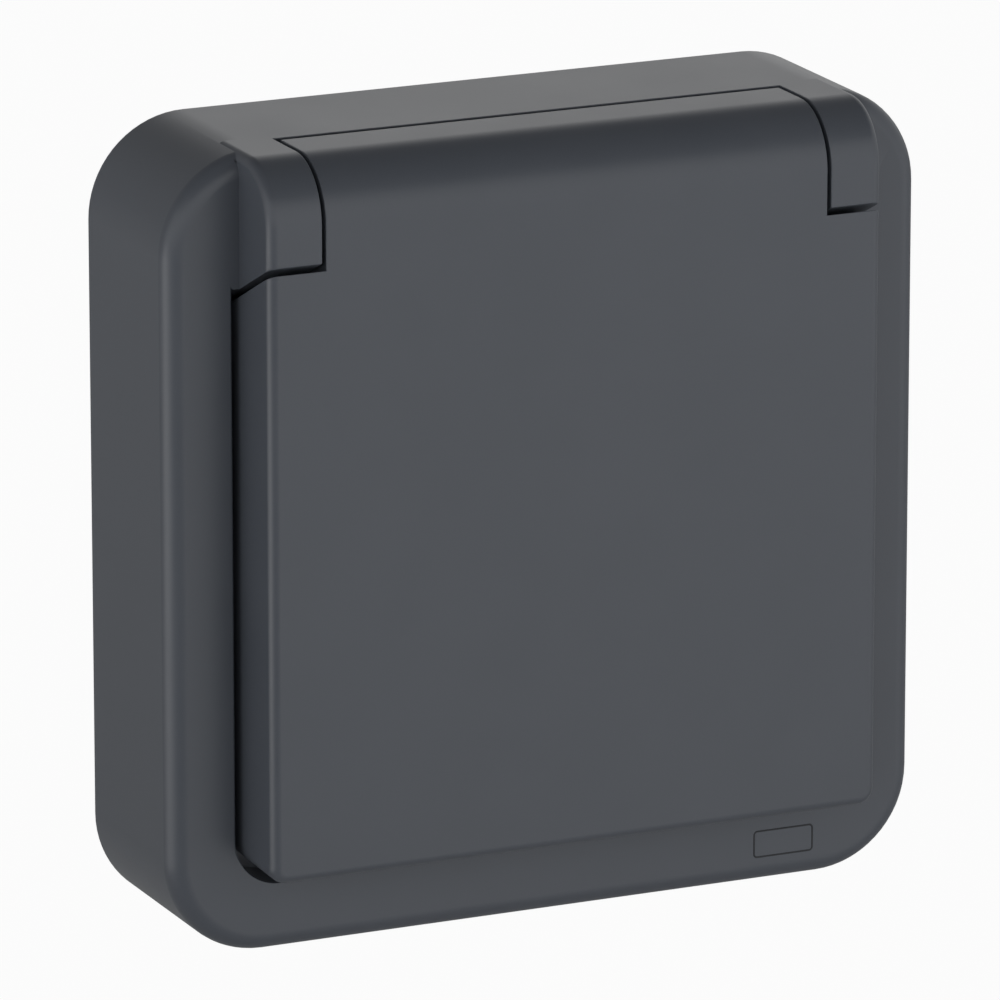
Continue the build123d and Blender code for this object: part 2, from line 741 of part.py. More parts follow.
with BuildPart() as ring_rivets:
    with BuildSketch(facing(ring_thickness)):
        with Locations(*rivet_spots):
            Circle(rivet_head_radius)
    extrude(amount=rivet_head_height)
    with BuildSketch(facing(ring_thickness)):
        with Locations(*rivet_spots):
            Circle(rivet_radius)
    extrude(amount=-ring_thickness - rivet_depth)

# Export
housing_frame.part.label = "housing_frame"
export_step(housing_frame.part, "parts/housing_frame.step")
lid.part.label = "lid"
export_step(lid.part, "parts/lid.step")
hinge_pin.part.label = "hinge_pin"
export_step(hinge_pin.part, "parts/hinge_pin.step")
lid_spring.part.label = "lid_spring"
export_step(lid_spring.part, "parts/lid_spring.step")
lid_seal.part.label = "lid_seal"
export_step(lid_seal.part, "parts/lid_seal.step")
wall_seal.part.label = "wall_seal"
export_step(wall_seal.part, "parts/wall_seal.step")
dish_seal.part.label = "dish_seal"
export_step(dish_seal.part, "parts/dish_seal.step")
socket_dish.part.label = "socket_dish"
export_step(socket_dish.part, "parts/socket_dish.step")
centre_screw.part.label = "centre_screw"
export_step(centre_screw.part, "parts/centre_screw.step")
shutter.part.label = "shutter"
export_step(shutter.part, "parts/shutter.step")
shutter_spring.part.label = "shutter_spring"
export_step(shutter_spring.part, "parts/shutter_spring.step")
socket_base.part.label = "socket_base"
export_step(socket_base.part, "parts/socket_base.step")
base_cover.part.label = "base_cover"
export_step(base_cover.part, "parts/base_cover.step")
line_contact.part.label = "line_contact"
export_step(line_contact.part, "parts/line_contact.step")
neutral_contact.part.label = "neutral_contact"
export_step(neutral_contact.part, "parts/neutral_contact.step")
earth_strap.part.label = "earth_strap"
export_step(earth_strap.part, "parts/earth_strap.step")
terminal_clamps.part.label = "terminal_clamps"
export_step(terminal_clamps.part, "parts/terminal_clamps.step")
terminal_screws.part.label = "terminal_screws"
export_step(terminal_screws.part, "parts/terminal_screws.step")
support_ring.part.label = "support_ring"
export_step(support_ring.part, "parts/support_ring.step")
ring_rivets.part.label = "ring_rivets"
export_step(ring_rivets.part, "parts/ring_rivets.step")
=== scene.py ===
import json
import math

import bmesh
import bpy
from mathutils import Matrix, Vector
from mathutils.bvhtree import BVHTree
from mathutils.kdtree import KDTree


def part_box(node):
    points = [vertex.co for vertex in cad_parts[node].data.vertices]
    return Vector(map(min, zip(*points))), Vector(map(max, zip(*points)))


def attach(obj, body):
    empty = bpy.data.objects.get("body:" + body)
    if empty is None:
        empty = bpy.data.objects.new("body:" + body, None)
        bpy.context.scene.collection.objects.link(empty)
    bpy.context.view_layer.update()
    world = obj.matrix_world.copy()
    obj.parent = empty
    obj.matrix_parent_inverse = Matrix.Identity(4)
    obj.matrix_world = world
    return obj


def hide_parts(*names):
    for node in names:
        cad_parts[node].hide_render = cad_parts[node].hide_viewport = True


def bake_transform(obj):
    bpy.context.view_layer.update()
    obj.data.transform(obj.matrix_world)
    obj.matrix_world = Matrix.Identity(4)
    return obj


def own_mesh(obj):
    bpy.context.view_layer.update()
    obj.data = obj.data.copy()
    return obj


# Outdoor flush socket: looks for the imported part, in metres and in the part's own frame
# The wall is the plane Y = 0, the room lies towards -Y and Z is up

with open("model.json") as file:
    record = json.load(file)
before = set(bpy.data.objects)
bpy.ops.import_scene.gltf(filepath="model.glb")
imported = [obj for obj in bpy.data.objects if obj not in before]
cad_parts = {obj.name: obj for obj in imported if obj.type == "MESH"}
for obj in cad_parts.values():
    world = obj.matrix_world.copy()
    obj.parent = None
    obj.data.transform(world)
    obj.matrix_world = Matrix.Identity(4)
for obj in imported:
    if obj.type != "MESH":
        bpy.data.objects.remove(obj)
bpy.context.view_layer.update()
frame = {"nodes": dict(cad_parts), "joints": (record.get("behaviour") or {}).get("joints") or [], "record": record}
nodes = frame["nodes"]
joints = {joint["name"]: joint for joint in frame["joints"]}
slot_of = {part["node"]: part["material_slot"] for part in frame["record"]["subparts"]}
body_of = {
    node: body
    for body, members in frame["record"]["behaviour"]["bodies"].items()
    for node in members
}
mm = 0.001

# Places on the hood, as the solids have them

rim_plane = -19.5 * mm
near_top = 39.5 * mm
recess_bottom = -33.1 * mm
recess_corner = 4.6 * mm
ear_back = -13.92 * mm
ear_side = 32.4 * mm
ear_foot = 24.0 * mm
ear_shoulder = 39.05 * mm
ear_root_round = 0.16 * mm

# The round on each piece's outward edges

edge_round = {
    "housing_frame": 0.24 * mm,
    "lid": 0.12 * mm,
    "hinge_pin": 0.12 * mm,
    "lid_seal": 0.6 * mm,
    "wall_seal": 0.25 * mm,
    "dish_seal": 0.1 * mm,
    "socket_dish": 0.15 * mm,
    "centre_screw": 0.08 * mm,
    "shutter": 0.12 * mm,
    "socket_base": 0.2 * mm,
    "base_cover": 0.2 * mm,
    "line_contact": 0.1 * mm,
    "neutral_contact": 0.1 * mm,
    "earth_strap": 0.12 * mm,
    "terminal_clamps": 0.12 * mm,
    "terminal_screws": 0.1 * mm,
    "support_ring": 0.1 * mm,
}
crease_angle = math.radians(28)
round_segments = 3
plain_share = 0.5
least_share = 0.15

# How a round is tested: corners off the old surface and turned triangles are faults

round_tries = 6
stray_share = 0.75
turned_cosine = 0.5
corners_near_fault = 3
sliver = 0.02 * mm * mm

# Tolerances on the solids' meshes

same_point = 0.0005 * mm
same_plane = 0.01 * mm
step_depth = 0.05 * mm
short_edge = 0.01 * mm
flat_angle = math.radians(0.2)

# Springs, each in round wire

spring_turns = 5.0
lid_wire = 0.6 * mm
lid_coil_radius = 1.7 * mm
lid_coil_length = 5.0 * mm
lid_coil_lead = 1.4 * mm
shutter_wire = 0.4 * mm
shutter_coil_radius = 1.3 * mm

# Screw threads, from the root of the shank to the radius that the solids have

thread_depth = 0.3 * mm
thread_runout = 0.3 * mm
centre_radius = 1.75 * mm
centre_radius_play = 0.15 * mm
centre_thread_length = 9.0 * mm
centre_thread_turns = 15.0
terminal_radius = 1.6 * mm
terminal_thread_length = 3.4 * mm
terminal_thread_turns = 5.0
terminal_slotted_end = 1.2 * mm
earth_terminal_from = 10 * mm

# Rivets of the support ring

rivet_offset = 18.2 * mm
rivet_radius = 1.5 * mm
rivet_head_radius = 2.6 * mm
rivet_head_rise = 0.8 * mm
rivet_depth = 9.0 * mm
ring_thickness = 1.2 * mm

# Bare frame line at the rim's lower right

cartouche_width = 6.42 * mm
cartouche_height = 2.66 * mm
cartouche_corner = 0.35 * mm
cartouche_stroke = 0.22 * mm
cartouche_sink = 0.05 * mm
cartouche_x = 25.8 * mm
cartouche_z = -35.97 * mm


# Node trees

class Signal:
    """An output socket of a tree; arithmetic on it adds Math nodes to that tree."""

    def __init__(self, tree, socket):
        self.tree = tree
        self.socket = socket

    def maths(self, operation, *values):
        return self.tree.node("ShaderNodeMath", dict(enumerate(values)), operation=operation)

    def __add__(self, other):
        return self.maths("ADD", self, other)

    def __radd__(self, other):
        return self.maths("ADD", other, self)

    def __sub__(self, other):
        return self.maths("SUBTRACT", self, other)

    def __rsub__(self, other):
        return self.maths("SUBTRACT", other, self)

    def __mul__(self, other):
        return self.maths("MULTIPLY", self, other)

    def __rmul__(self, other):
        return self.maths("MULTIPLY", other, self)

    def at_least(self, other):
        """The larger of the two."""
        return self.maths("MAXIMUM", self, other)

    def step(self, low, high):
        """A smooth rise from 0 at low to 1 at high."""
        sockets = {"Value": self, "From Min": low, "From Max": high}
        return self.tree.node("ShaderNodeMapRange", sockets, interpolation_type="SMOOTHSTEP")


class Tree:
    """A shader or geometry tree with one method that makes any node."""

    def __init__(self, tree):
        self.tree = tree
        tree.nodes.clear()

    def node(self, kind, sockets=None, output=0, **settings):
        """A node's output; a socket takes a Signal, a list of Signals or a constant."""
        made = self.tree.nodes.new(kind)
        for key, value in settings.items():
            setattr(made, key, value)
        for key, value in (sockets or {}).items():
            if isinstance(value, Signal):
                value = [value]
            if isinstance(value, list):
                for signal in value:
                    self.tree.links.new(signal.socket, made.inputs[key])
            else:
                made.inputs[key].default_value = value
        return Signal(self, made.outputs[output]) if made.outputs else None


class Finish(Tree):
    """A material that is laid out in the object's own coordinates."""

    # A Mix node has sockets for each kind of value, and these are the ones for colours
    mix_factor, mix_first, mix_second, mix_result = 0, 6, 7, 2

    def __init__(self, name):
        self.material = bpy.data.materials.new(name)
        self.material.use_nodes = True
        super().__init__(self.material.node_tree)
        self.place = self.node("ShaderNodeTexCoord", output="Object")

    def noise(self, size, detail=2.0, roughness=0.5, stretch=None):
        place = self.place
        if stretch:
            place = self.node("ShaderNodeMapping", {"Vector": place, "Scale": stretch})
        sockets = {"Vector": place, "Scale": 1.0 / size, "Detail": detail, "Roughness": roughness}
        return self.node("ShaderNodeTexNoise", sockets, "Fac")

    def cells(self, size, output="Distance"):
        sockets = {"Vector": self.place, "Scale": 1.0 / size}
        return self.node("ShaderNodeTexVoronoi", sockets, output)

    def blend(self, factor, first, second):
        sockets = {self.mix_factor: factor, self.mix_first: first, self.mix_second: second}
        return self.node("ShaderNodeMix", sockets, self.mix_result, data_type="RGBA")

    def bump(self, height, depth, strength=0.5):
        sockets = {"Height": height, "Distance": depth, "Strength": strength}
        return self.node("ShaderNodeBump", sockets)

    def close(self, colour, rough, normal, metallic=0.0):
        """The finished material, ending in one Principled shader."""
        sockets = {"Base Color": colour, "Roughness": rough, "Normal": normal, "Metallic": metallic}
        shader = self.node("ShaderNodeBsdfPrincipled", sockets)
        self.node("ShaderNodeOutputMaterial", {"Surface": shader})
        return self.material


class Maker(Tree):
    """A geometry tree with named sizes that ends in one plain mesh with one finish."""

    def __init__(self, name, slot):
        self.slot = slot
        self.group = bpy.data.node_groups.new(name, "GeometryNodeTree")
        self.group.interface.new_socket(
            "Geometry", in_out="OUTPUT", socket_type="NodeSocketGeometry"
        )
        self.inputs = {}
        super().__init__(self.group)

    def size(self, name, kind="Float"):
        """A named input of the tree."""
        self.inputs[name] = self.group.interface.new_socket(
            name, in_out="INPUT", socket_type="NodeSocket" + kind
        )
        return self.node("NodeGroupInput", output=name)

    def point(self, x, y, z):
        return self.node("ShaderNodeCombineXYZ", {"X": x, "Y": y, "Z": z})

    def circle(self, radius, corners):
        sockets = {"Resolution": corners, "Radius": radius}
        return self.node("GeometryNodeCurvePrimitiveCircle", sockets)

    def line(self, start, end):
        return self.node("GeometryNodeCurvePrimitiveLine", {"Start": start, "End": end})

    def helix(self, radius, length, turns, corners):
        sockets = {
            "Resolution": corners,
            "Rotations": turns,
            "Start Radius": radius,
            "End Radius": radius,
            "Height": length,
        }
        return self.node("GeometryNodeCurveSpiral", sockets)

    def tube(self, path, profile):
        sockets = {"Curve": path, "Profile Curve": profile, "Fill Caps": True}
        return self.node("GeometryNodeCurveToMesh", sockets)

    def set_out(self, geometry, place, turn):
        sockets = {"Geometry": geometry, "Translation": place, "Rotation": turn}
        return self.node("GeometryNodeTransform", sockets)

    def joined(self, *geometry):
        return self.node("GeometryNodeJoinGeometry", {"Geometry": list(geometry)})

    def smooth(self, geometry):
        return self.node("GeometryNodeSetShadeSmooth", {"Geometry": geometry})

    def close(self, geometry):
        """The finished tree, ending in real geometry with its finish."""
        whole = self.node("GeometryNodeRealizeInstances", {"Geometry": geometry})
        sockets = {"Geometry": whole, "Material": finishes[self.slot]}
        self.node("NodeGroupOutput", {"Geometry": self.node("GeometryNodeSetMaterial", sockets)})
        return self

    def made(self, name, sizes):
        """A plain mesh object from the tree with these sizes."""
        piece = shown(name, self.slot)
        build = piece.modifiers.new("build", "NODES")
        build.node_group = self.group
        for key, value in sizes.items():
            build[self.inputs[key].identifier] = value
        return settle(piece)


# Finishes, each mottled by noise over its middle values

mottle = (0.3, 0.7)


def tone(red, green, blue):
    return (red, green, blue, 1.0)


def grey(level):
    return tone(level, level, level)


def hood_plastic():
    """Anthracite hood plastic with the fine even grain of an eroded mould."""
    paint = Finish("hood_plastic")
    grain = paint.noise(0.16 * mm, 3.0, 0.6)
    cloud = paint.noise(9 * mm)
    flow = paint.noise(30 * mm, 1.0, stretch=(1.0, 1.0, 0.35))
    colour = paint.blend(
        (grain * 0.35 + cloud * 0.4 + flow * 0.25).step(*mottle),
        tone(0.0865, 0.0965, 0.115),
        tone(0.0945, 0.1045, 0.124),
    )
    rough = 0.29 + 0.05 * cloud + 0.05 * grain
    return paint.close(colour, rough, paint.bump(grain, 0.006 * mm))


def dish_plastic():
    """Darker insert plastic, a little smoother than the hood."""
    paint = Finish("dish_plastic")
    grain = paint.noise(0.22 * mm)
    cloud = paint.noise(7 * mm)
    colour = paint.blend(
        (grain * 0.4 + cloud * 0.6).step(*mottle),
        tone(0.054, 0.0585, 0.066),
        tone(0.064, 0.069, 0.078),
    )
    rough = 0.36 + 0.08 * cloud
    return paint.close(colour, rough, paint.bump(grain, 0.006 * mm))


def base_plastic():
    """Light grey thermoset of the insulating block, with fine mineral specks."""
    paint = Finish("base_plastic")
    speck = paint.cells(0.55 * mm).step(0.16, 0.05)
    cloud = paint.noise(5 * mm, 3.0)
    grain = paint.noise(0.3 * mm)
    ground = paint.blend(cloud.step(*mottle), tone(0.485, 0.48, 0.46), tone(0.525, 0.52, 0.50))
    colour = paint.blend(speck * 0.45, ground, tone(0.25, 0.245, 0.235))
    rough = 0.42 + 0.12 * cloud
    return paint.close(colour, rough, paint.bump(grain, 0.01 * mm))


def seal_rubber():
    """Black moulded rubber with a dusty bloom."""
    paint = Finish("seal_rubber")
    grain = paint.noise(0.12 * mm, 3.0)
    bloom = paint.noise(3 * mm, 4.0, 0.6)
    colour = paint.blend(
        bloom.step(0.35, 0.75), tone(0.016, 0.016, 0.017), tone(0.032, 0.032, 0.033)
    )
    rough = 0.62 + 0.2 * bloom
    return paint.close(colour, rough, paint.bump(grain, 0.012 * mm, 0.6))


def zinc_steel():
    """Zinc plated steel: faint crystal patches, rolling streaks and small scuffs."""
    paint = Finish("zinc_steel")
    patch = paint.node("ShaderNodeRGBToBW", {"Color": paint.cells(2.2 * mm, "Color")})
    streak = paint.noise(0.5 * mm, stretch=(0.08, 1.0, 1.0))
    scuff = paint.noise(1.1 * mm, 5.0, 0.7).step(0.58, 0.72)
    colour = paint.blend(
        patch * 0.6 + streak * 0.4, tone(0.50, 0.505, 0.515), tone(0.63, 0.635, 0.64)
    )
    rough = 0.27 + 0.1 * patch + 0.12 * scuff
    return paint.close(colour, rough, paint.bump(streak, 0.004 * mm), metallic=1.0)


def spring_steel():
    """Drawn spring wire with a fine drawn grain and a dark oily tint."""
    paint = Finish("spring_steel")
    grain = paint.noise(0.05 * mm)
    tint = paint.noise(1.5 * mm)
    colour = paint.blend(tint, tone(0.36, 0.36, 0.37), tone(0.52, 0.52, 0.53))
    rough = 0.24 + 0.16 * grain
    return paint.close(colour, rough, paint.bump(grain, 0.003 * mm, 0.4), metallic=1.0)


def contact_brass():
    """Stamped brass: rolled streaks, slight tarnish in clouds."""
    paint = Finish("contact_brass")
    streak = paint.noise(0.3 * mm, stretch=(1.0, 0.1, 1.0))
    tarnish = paint.noise(4 * mm, 4.0, 0.6).step(0.45, 0.8)
    bright = paint.blend(streak, tone(0.70, 0.52, 0.24), tone(0.80, 0.62, 0.31))
    colour = paint.blend(tarnish * 0.6, bright, tone(0.42, 0.29, 0.14))
    rough = 0.26 + 0.1 * streak + 0.18 * tarnish
    return paint.close(colour, rough, paint.bump(streak, 0.004 * mm), metallic=1.0)


def cartouche_line():
    """The hood plastic along a fine sunk line: rougher, with the shade inside the line painted in as a darker
    colour.
    """
    paint = Finish("cartouche_line")
    grain = paint.noise(0.1 * mm, 3.0, 0.6)
    # Painted shade: these dark tones stand in for the shade inside the sunk line.
    colour = paint.blend(
        grain.step(*mottle), tone(0.022, 0.024, 0.028), tone(0.036, 0.039, 0.045)
    )
    rough = 0.55 + 0.15 * grain
    return paint.close(colour, rough, paint.bump(grain, 0.006 * mm))


finishes = {
    "hood_plastic": hood_plastic(),
    "cartouche_line": cartouche_line(),
    "dish_plastic": dish_plastic(),
    "base_plastic": base_plastic(),
    "seal_rubber": seal_rubber(),
    "steel": zinc_steel(),
    "spring_steel": spring_steel(),
    "contact_brass": contact_brass(),
}


# Pieces made from the solids

def shown(name, slot):
    """A new object at the origin with an empty mesh and one finish."""
    mesh = bpy.data.meshes.new(name)
    mesh.materials.append(finishes[slot])
    piece = bpy.data.objects.new(name, mesh)
    bpy.context.scene.collection.objects.link(piece)
    return piece


def settle(piece):
    """Turns a piece's modifiers into its plain mesh."""
    bpy.context.view_layer.update()
    evaluated = piece.evaluated_get(bpy.context.evaluated_depsgraph_get())
    made = bpy.data.meshes.new_from_object(evaluated)
    made.name = piece.name
    piece.modifiers.clear()
    piece.data = made
    return piece


def placed(piece, body, slot, *replaced):
    """Rides a finished piece on its body and lets it stand for its CAD nodes."""
    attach(piece, body)
    if replaced:
        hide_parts(*replaced)


def crisp_ear_roots(shape):
    """Presses the tiny root round beside each ear flat, so that the root is one dark line."""
    for corner in shape.verts:
        x, y, z = corner.co
        in_root = 0.0 < abs(x) - ear_side < ear_root_round
        if in_root and y < ear_back and ear_foot < z < ear_shoulder:
            corner.co.x = math.copysign(ear_side, x)
    bmesh.ops.dissolve_degenerate(shape, dist=short_edge, edges=shape.edges)


def merged(node):
    """A CAD node's triangles joined into closed faces, with flat areas made whole."""
    shape = bmesh.new()
    shape.from_mesh(nodes[node].data)
    bmesh.ops.remove_doubles(shape, verts=shape.verts, dist=same_point)
    if node == "housing_frame":
        crisp_ear_roots(shape)
    bmesh.ops.dissolve_limit(
        shape, angle_limit=flat_angle, verts=shape.verts, edges=shape.edges
    )
    return shape


def slim_centre_shank(shape):
    """Takes the centre screw's plain shank down to the root of its thread."""
    share = (centre_radius - thread_depth) / centre_radius
    for corner in shape.verts:
        radial = math.hypot(corner.co.x, corner.co.z)
        if abs(radial - centre_radius) < centre_radius_play:
            corner.co.x *= share
            corner.co.z *= share


def slim_terminal_shanks(shape):
    """Takes the terminal screws down to the root of their threads."""
    share = (terminal_radius - thread_depth) / terminal_radius
    low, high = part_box("terminal_screws")
    middle = (low[1] + high[1]) / 2
    for corner in shape.verts:
        corner.co.y = middle + (corner.co.y - middle) * share
        if corner.co.z > earth_terminal_from:
            corner.co.x *= share
        else:
            corner.co.z *= share


def hood_edge_share(edge):
    """The share of the hood's edge round that an edge gets.

    The rim's edge round the lid recess has all of it and loses it towards the recess's bottom.
    The low step behind the ears stays sharp, and every other edge has the plain share.
    """
    ends = [corner.co for corner in edge.verts]
    if all(abs(end.y - ear_back) < step_depth and end.z > near_top for end in ends):
        return 0.0
    if any(abs(end.y - rim_plane) > same_plane for end in ends):
        return plain_share
    above = (ends[0].z + ends[1].z) / 2 - recess_bottom
    return min(1.0, max(least_share, above / recess_corner))


shank_slimming = {"centre_screw": slim_centre_shank, "terminal_screws": slim_terminal_shanks}
edge_share = {"housing_frame": hood_edge_share}


def round_edges(piece, shape, radius):
    """Makes the piece's mesh from the shape, with weighted edges rounded and flats shaded flat."""
    mesh = bpy.data.meshes.new(piece.name)
    shape.to_mesh(mesh)
    if "custom_normal" in mesh.attributes:
        mesh.attributes.remove(mesh.attributes["custom_normal"])
    mesh.shade_smooth()
    mesh.materials.append(piece.data.materials[0])
    piece.data = mesh
    bevel = piece.modifiers.new("edge", "BEVEL")
    bevel.width = radius
    bevel.segments = round_segments
    bevel.limit_method = "WEIGHT"
    bevel.use_clamp_overlap = False
    bevel.loop_slide = False
    bevel.miter_outer = "MITER_ARC"
    shade = piece.modifiers.new("shade", "WEIGHTED_NORMAL")
    shade.keep_sharp = True
    settle(piece)


def stray_corners(mesh, skin, reach):
    """The corners that lie further than the reach from the shape's old skin."""
    return [corner.co for corner in mesh.vertices if skin.find_nearest(corner.co)[3] > reach]


def turned_corners(mesh):
    """The corners of triangles that a crossed outline turns against their own face."""
    mesh.calc_loop_triangles()
    return [
        mesh.vertices[corner].co
        for triangle in mesh.loop_triangles
        if triangle.area > sliver
        and triangle.normal.dot(mesh.polygons[triangle.polygon_index].normal) < turned_cosine
        for corner in triangle.vertices
    ]


def eased(node, radius):
    """A copy of a CAD node with its outward creases rounded; the ones near a fault stay sharp."""
    shape = merged(node)
    if node in shank_slimming:
        shank_slimming[node](shape)
    skin = BVHTree.FromBMesh(shape)
    corners = KDTree(len(shape.verts))
    for corner in shape.verts:
        corners.insert(corner.co, corner.index)
    corners.balance()
    weights = shape.edges.layers.float.new("bevel_weight_edge")
    creases = [edge for edge in shape.edges if edge.calc_face_angle(0.0) > crease_angle]
    for edge in creases:
        if edge.is_convex:
            edge[weights] = edge_share[node](edge) if node in edge_share else 1.0
    piece = shown(node + "_finished", slot_of[node])
    for _ in range(round_tries):
        for edge in creases:
            edge.smooth = edge[weights] > 0.0
        round_edges(piece, shape, radius)
        faults = stray_corners(piece.data, skin, stray_share * radius)
        faults += turned_corners(piece.data)
        if not faults:
            break
        shape.verts.ensure_lookup_table()
        for fault in faults:
            for _, index, _ in corners.find_n(fault, corners_near_fault):
                for edge in shape.verts[index].link_edges:
                    edge[weights] = 0.0
    shape.free()
    return piece


for node, radius in edge_round.items():
    placed(eased(node, radius), body_of[node], slot_of[node], node)


# Springs, threads, rivets and the cartouche

def coil_spring(hooked):
    """Round wire wound on a cylinder, with a straight hook at each end where it has hooks."""
    tree = Maker("hooked_spring" if hooked else "plain_spring", "spring_steel")
    wire = tree.size("Wire")
    radius = tree.size("Radius")
    length = tree.size("Length")
    turns = tree.size("Turns")
    place = tree.size("Place", "Vector")
    turn = tree.size("Turn", "Rotation")
    path = tree.helix(radius, length, turns, corners=28)
    if hooked:
        lead_in = tree.size("Lead in")
        lead_out = tree.size("Lead out")
        foot = tree.point(radius, 0.0, 0.0)
        head = tree.point(radius, 0.0, length)
        hook_in = tree.line(foot, tree.point(radius, 0.0, 0.0 - lead_in))
        hook_out = tree.line(head, tree.point(radius, 0.0, length + lead_out))
        path = tree.joined(path, hook_in, hook_out)
    wound = tree.smooth(tree.tube(path, tree.circle(wire * 0.5, corners=12)))
    return tree.close(tree.set_out(wound, place, turn))


def screw_thread():
    """A V ridge that winds round a screw's shank."""
    tree = Maker("screw_thread", "steel")
    crest = tree.size("Crest radius")
    depth = tree.size("Depth")
    length = tree.size("Length")
    turns = tree.size("Turns")
    place = tree.size("Place", "Vector")
    turn = tree.size("Turn", "Rotation")
    path = tree.helix(crest - depth, length, turns, corners=24)
    path = tree.node("GeometryNodeSetCurveNormal", {"Curve": path}, mode="Z_UP")
    ridge = tree.tube(path, tree.circle(depth, corners=4))
    return tree.close(tree.set_out(ridge, place, turn))


def ring_rivet_pair():
    """Two rivets with domed heads on the support ring."""
    tree = Maker("ring_rivet_pair", "steel")
    head = tree.size("Head radius")
    rise = tree.size("Head rise")
    shank = tree.size("Shank radius")
    depth = tree.size("Depth")
    first = tree.size("First", "Vector")
    step = tree.size("Step", "Vector")
    sphere = {"Segments": 40, "Rings": 20, "Radius": 1.0}
    dome = {
        "Geometry": tree.node("GeometryNodeMeshUVSphere", sphere),
        "Scale": tree.point(head, rise, head),
    }
    dome = tree.node("GeometryNodeTransform", dome)
    cylinder = {"Vertices": 40, "Radius": shank, "Depth": depth}
    pin = tree.node("GeometryNodeMeshCylinder", cylinder)
    pin = tree.set_out(pin, tree.point(0.0, depth * 0.5, 0.0), (math.pi / 2, 0.0, 0.0))
    row = {"Count": 2, "Start Location": first, "Offset": step}
    pair = {
        "Points": tree.node("GeometryNodeMeshLine", row),
        "Instance": tree.smooth(tree.joined(dome, pin)),
    }
    return tree.close(tree.node("GeometryNodeInstanceOnPoints", pair))


def cartouche_frame():
    """A bare frame of one fine line round a rectangle with rounded corners."""
    tree = Maker("cartouche_frame", "cartouche_line")
    width = tree.size("Width")
    height = tree.size("Height")
    corner = tree.size("Corner")
    line = tree.size("Line")
    place = tree.size("Place", "Vector")
    turn = tree.size("Turn", "Rotation")
    sides = {"Width": width, "Height": height}
    path = tree.node("GeometryNodeCurvePrimitiveQuadrilateral", sides)
    rounded = {"Curve": path, "Radius": corner, "Count": 6}
    path = tree.node("GeometryNodeFilletCurve", rounded, mode="POLY")
    stroke = tree.tube(path, tree.circle(line * 0.5, corners=8))
    return tree.close(tree.set_out(stroke, place, turn))


hinge = Vector(joints["lid_hinge"]["pos_m"])
spring_low, spring_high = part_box("lid_spring")
coil_start = spring_low[0] + lid_coil_lead
coil_end = coil_start + lid_coil_length
lid_spring = coil_spring(hooked=True).made("lid_spring_wire", {
    "Wire": lid_wire,
    "Radius": lid_coil_radius,
    "Length": lid_coil_length,
    "Turns": spring_turns,
    "Lead in": lid_coil_lead,
    "Lead out": spring_high[0] - coil_end,
    "Place": (coil_start, hinge.y, hinge.z),
    "Turn": (math.pi / 2, 0.0, math.pi / 2),
})
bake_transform(lid_spring)
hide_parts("lid_spring")

coil_low, coil_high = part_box("shutter_spring")
shutter_spring = coil_spring(hooked=False).made("shutter_spring_wire", {
    "Wire": shutter_wire,
    "Radius": shutter_coil_radius,
    "Length": coil_high[2] - coil_low[2] - shutter_wire,
    "Turns": spring_turns,
    "Place": (0.0, (coil_low[1] + coil_high[1]) / 2, coil_low[2] + shutter_wire / 2),
    "Turn": (0.0, 0.0, 0.0),
})
placed(shutter_spring, "housing", "spring_steel", "shutter_spring")
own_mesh(shutter_spring)

thread = screw_thread()
screw_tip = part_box("centre_screw")[1][1]
centre_thread = thread.made("centre_screw_thread", {
    "Crest radius": centre_radius,
    "Depth": thread_depth,
    "Length": centre_thread_length,
    "Turns": centre_thread_turns,
    "Place": (0.0, screw_tip - thread_runout - centre_thread_length, 0.0),
    "Turn": (-math.pi / 2, 0.0, 0.0),
})
placed(centre_thread, "housing", "steel")

terminal_low, terminal_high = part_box("terminal_screws")
terminal_y = (terminal_low[1] + terminal_high[1]) / 2
thread_start = terminal_high[0] - terminal_slotted_end - terminal_thread_length
terminals = {
    "line": ((thread_start, terminal_y, 0.0), (0.0, math.pi / 2, 0.0)),
    "earth": ((0.0, terminal_y, thread_start), (0.0, 0.0, 0.0)),
    "neutral": ((-thread_start, terminal_y, 0.0), (0.0, -math.pi / 2, 0.0)),
}
for terminal, (place, turn) in terminals.items():
    terminal_thread = thread.made(terminal + "_screw_thread", {
        "Crest radius": terminal_radius,
        "Depth": thread_depth,
        "Length": terminal_thread_length,
        "Turns": terminal_thread_turns,
        "Place": place,
        "Turn": turn,
    })
    placed(terminal_thread, "housing", "steel")

rivets = ring_rivet_pair().made("ring_rivets_domed", {
    "Head radius": rivet_head_radius,
    "Head rise": rivet_head_rise,
    "Shank radius": rivet_radius,
    "Depth": ring_thickness + rivet_depth,
    "First": (-rivet_offset, -ring_thickness, rivet_offset),
    "Step": (2 * rivet_offset, 0.0, -2 * rivet_offset),
})
placed(rivets, "housing", slot_of["ring_rivets"], "ring_rivets")

cartouche = cartouche_frame().made("bare_cartouche", {
    "Width": cartouche_width,
    "Height": cartouche_height,
    "Corner": cartouche_corner,
    "Line": cartouche_stroke,
    "Place": (cartouche_x, rim_plane + cartouche_sink, cartouche_z),
    "Turn": (math.pi / 2, 0.0, 0.0),
})
placed(cartouche, "housing", "hood_plastic")


# Studio light: a soft wall round the horizon, a dim ceiling and two dim patches

backdrop_level = 0.98
front_light = (-0.5, -0.85, 0.1)
front_start = -0.6
front_end = 0.7
front_level = 0.975
back_level = 0.86
back_shade = (-0.5, 0.75, 0.43)
back_shade_depth = 0.70
right_shade = (0.95, 0.1, 0.3)
right_shade_depth = 0.3
shade_start = 0.60
shade_end = 0.80
ceiling_level = 0.1
ceiling_start = 0.39
ceiling_end = 0.66

# Floor: a pale table with one pool of light in front and one at the left

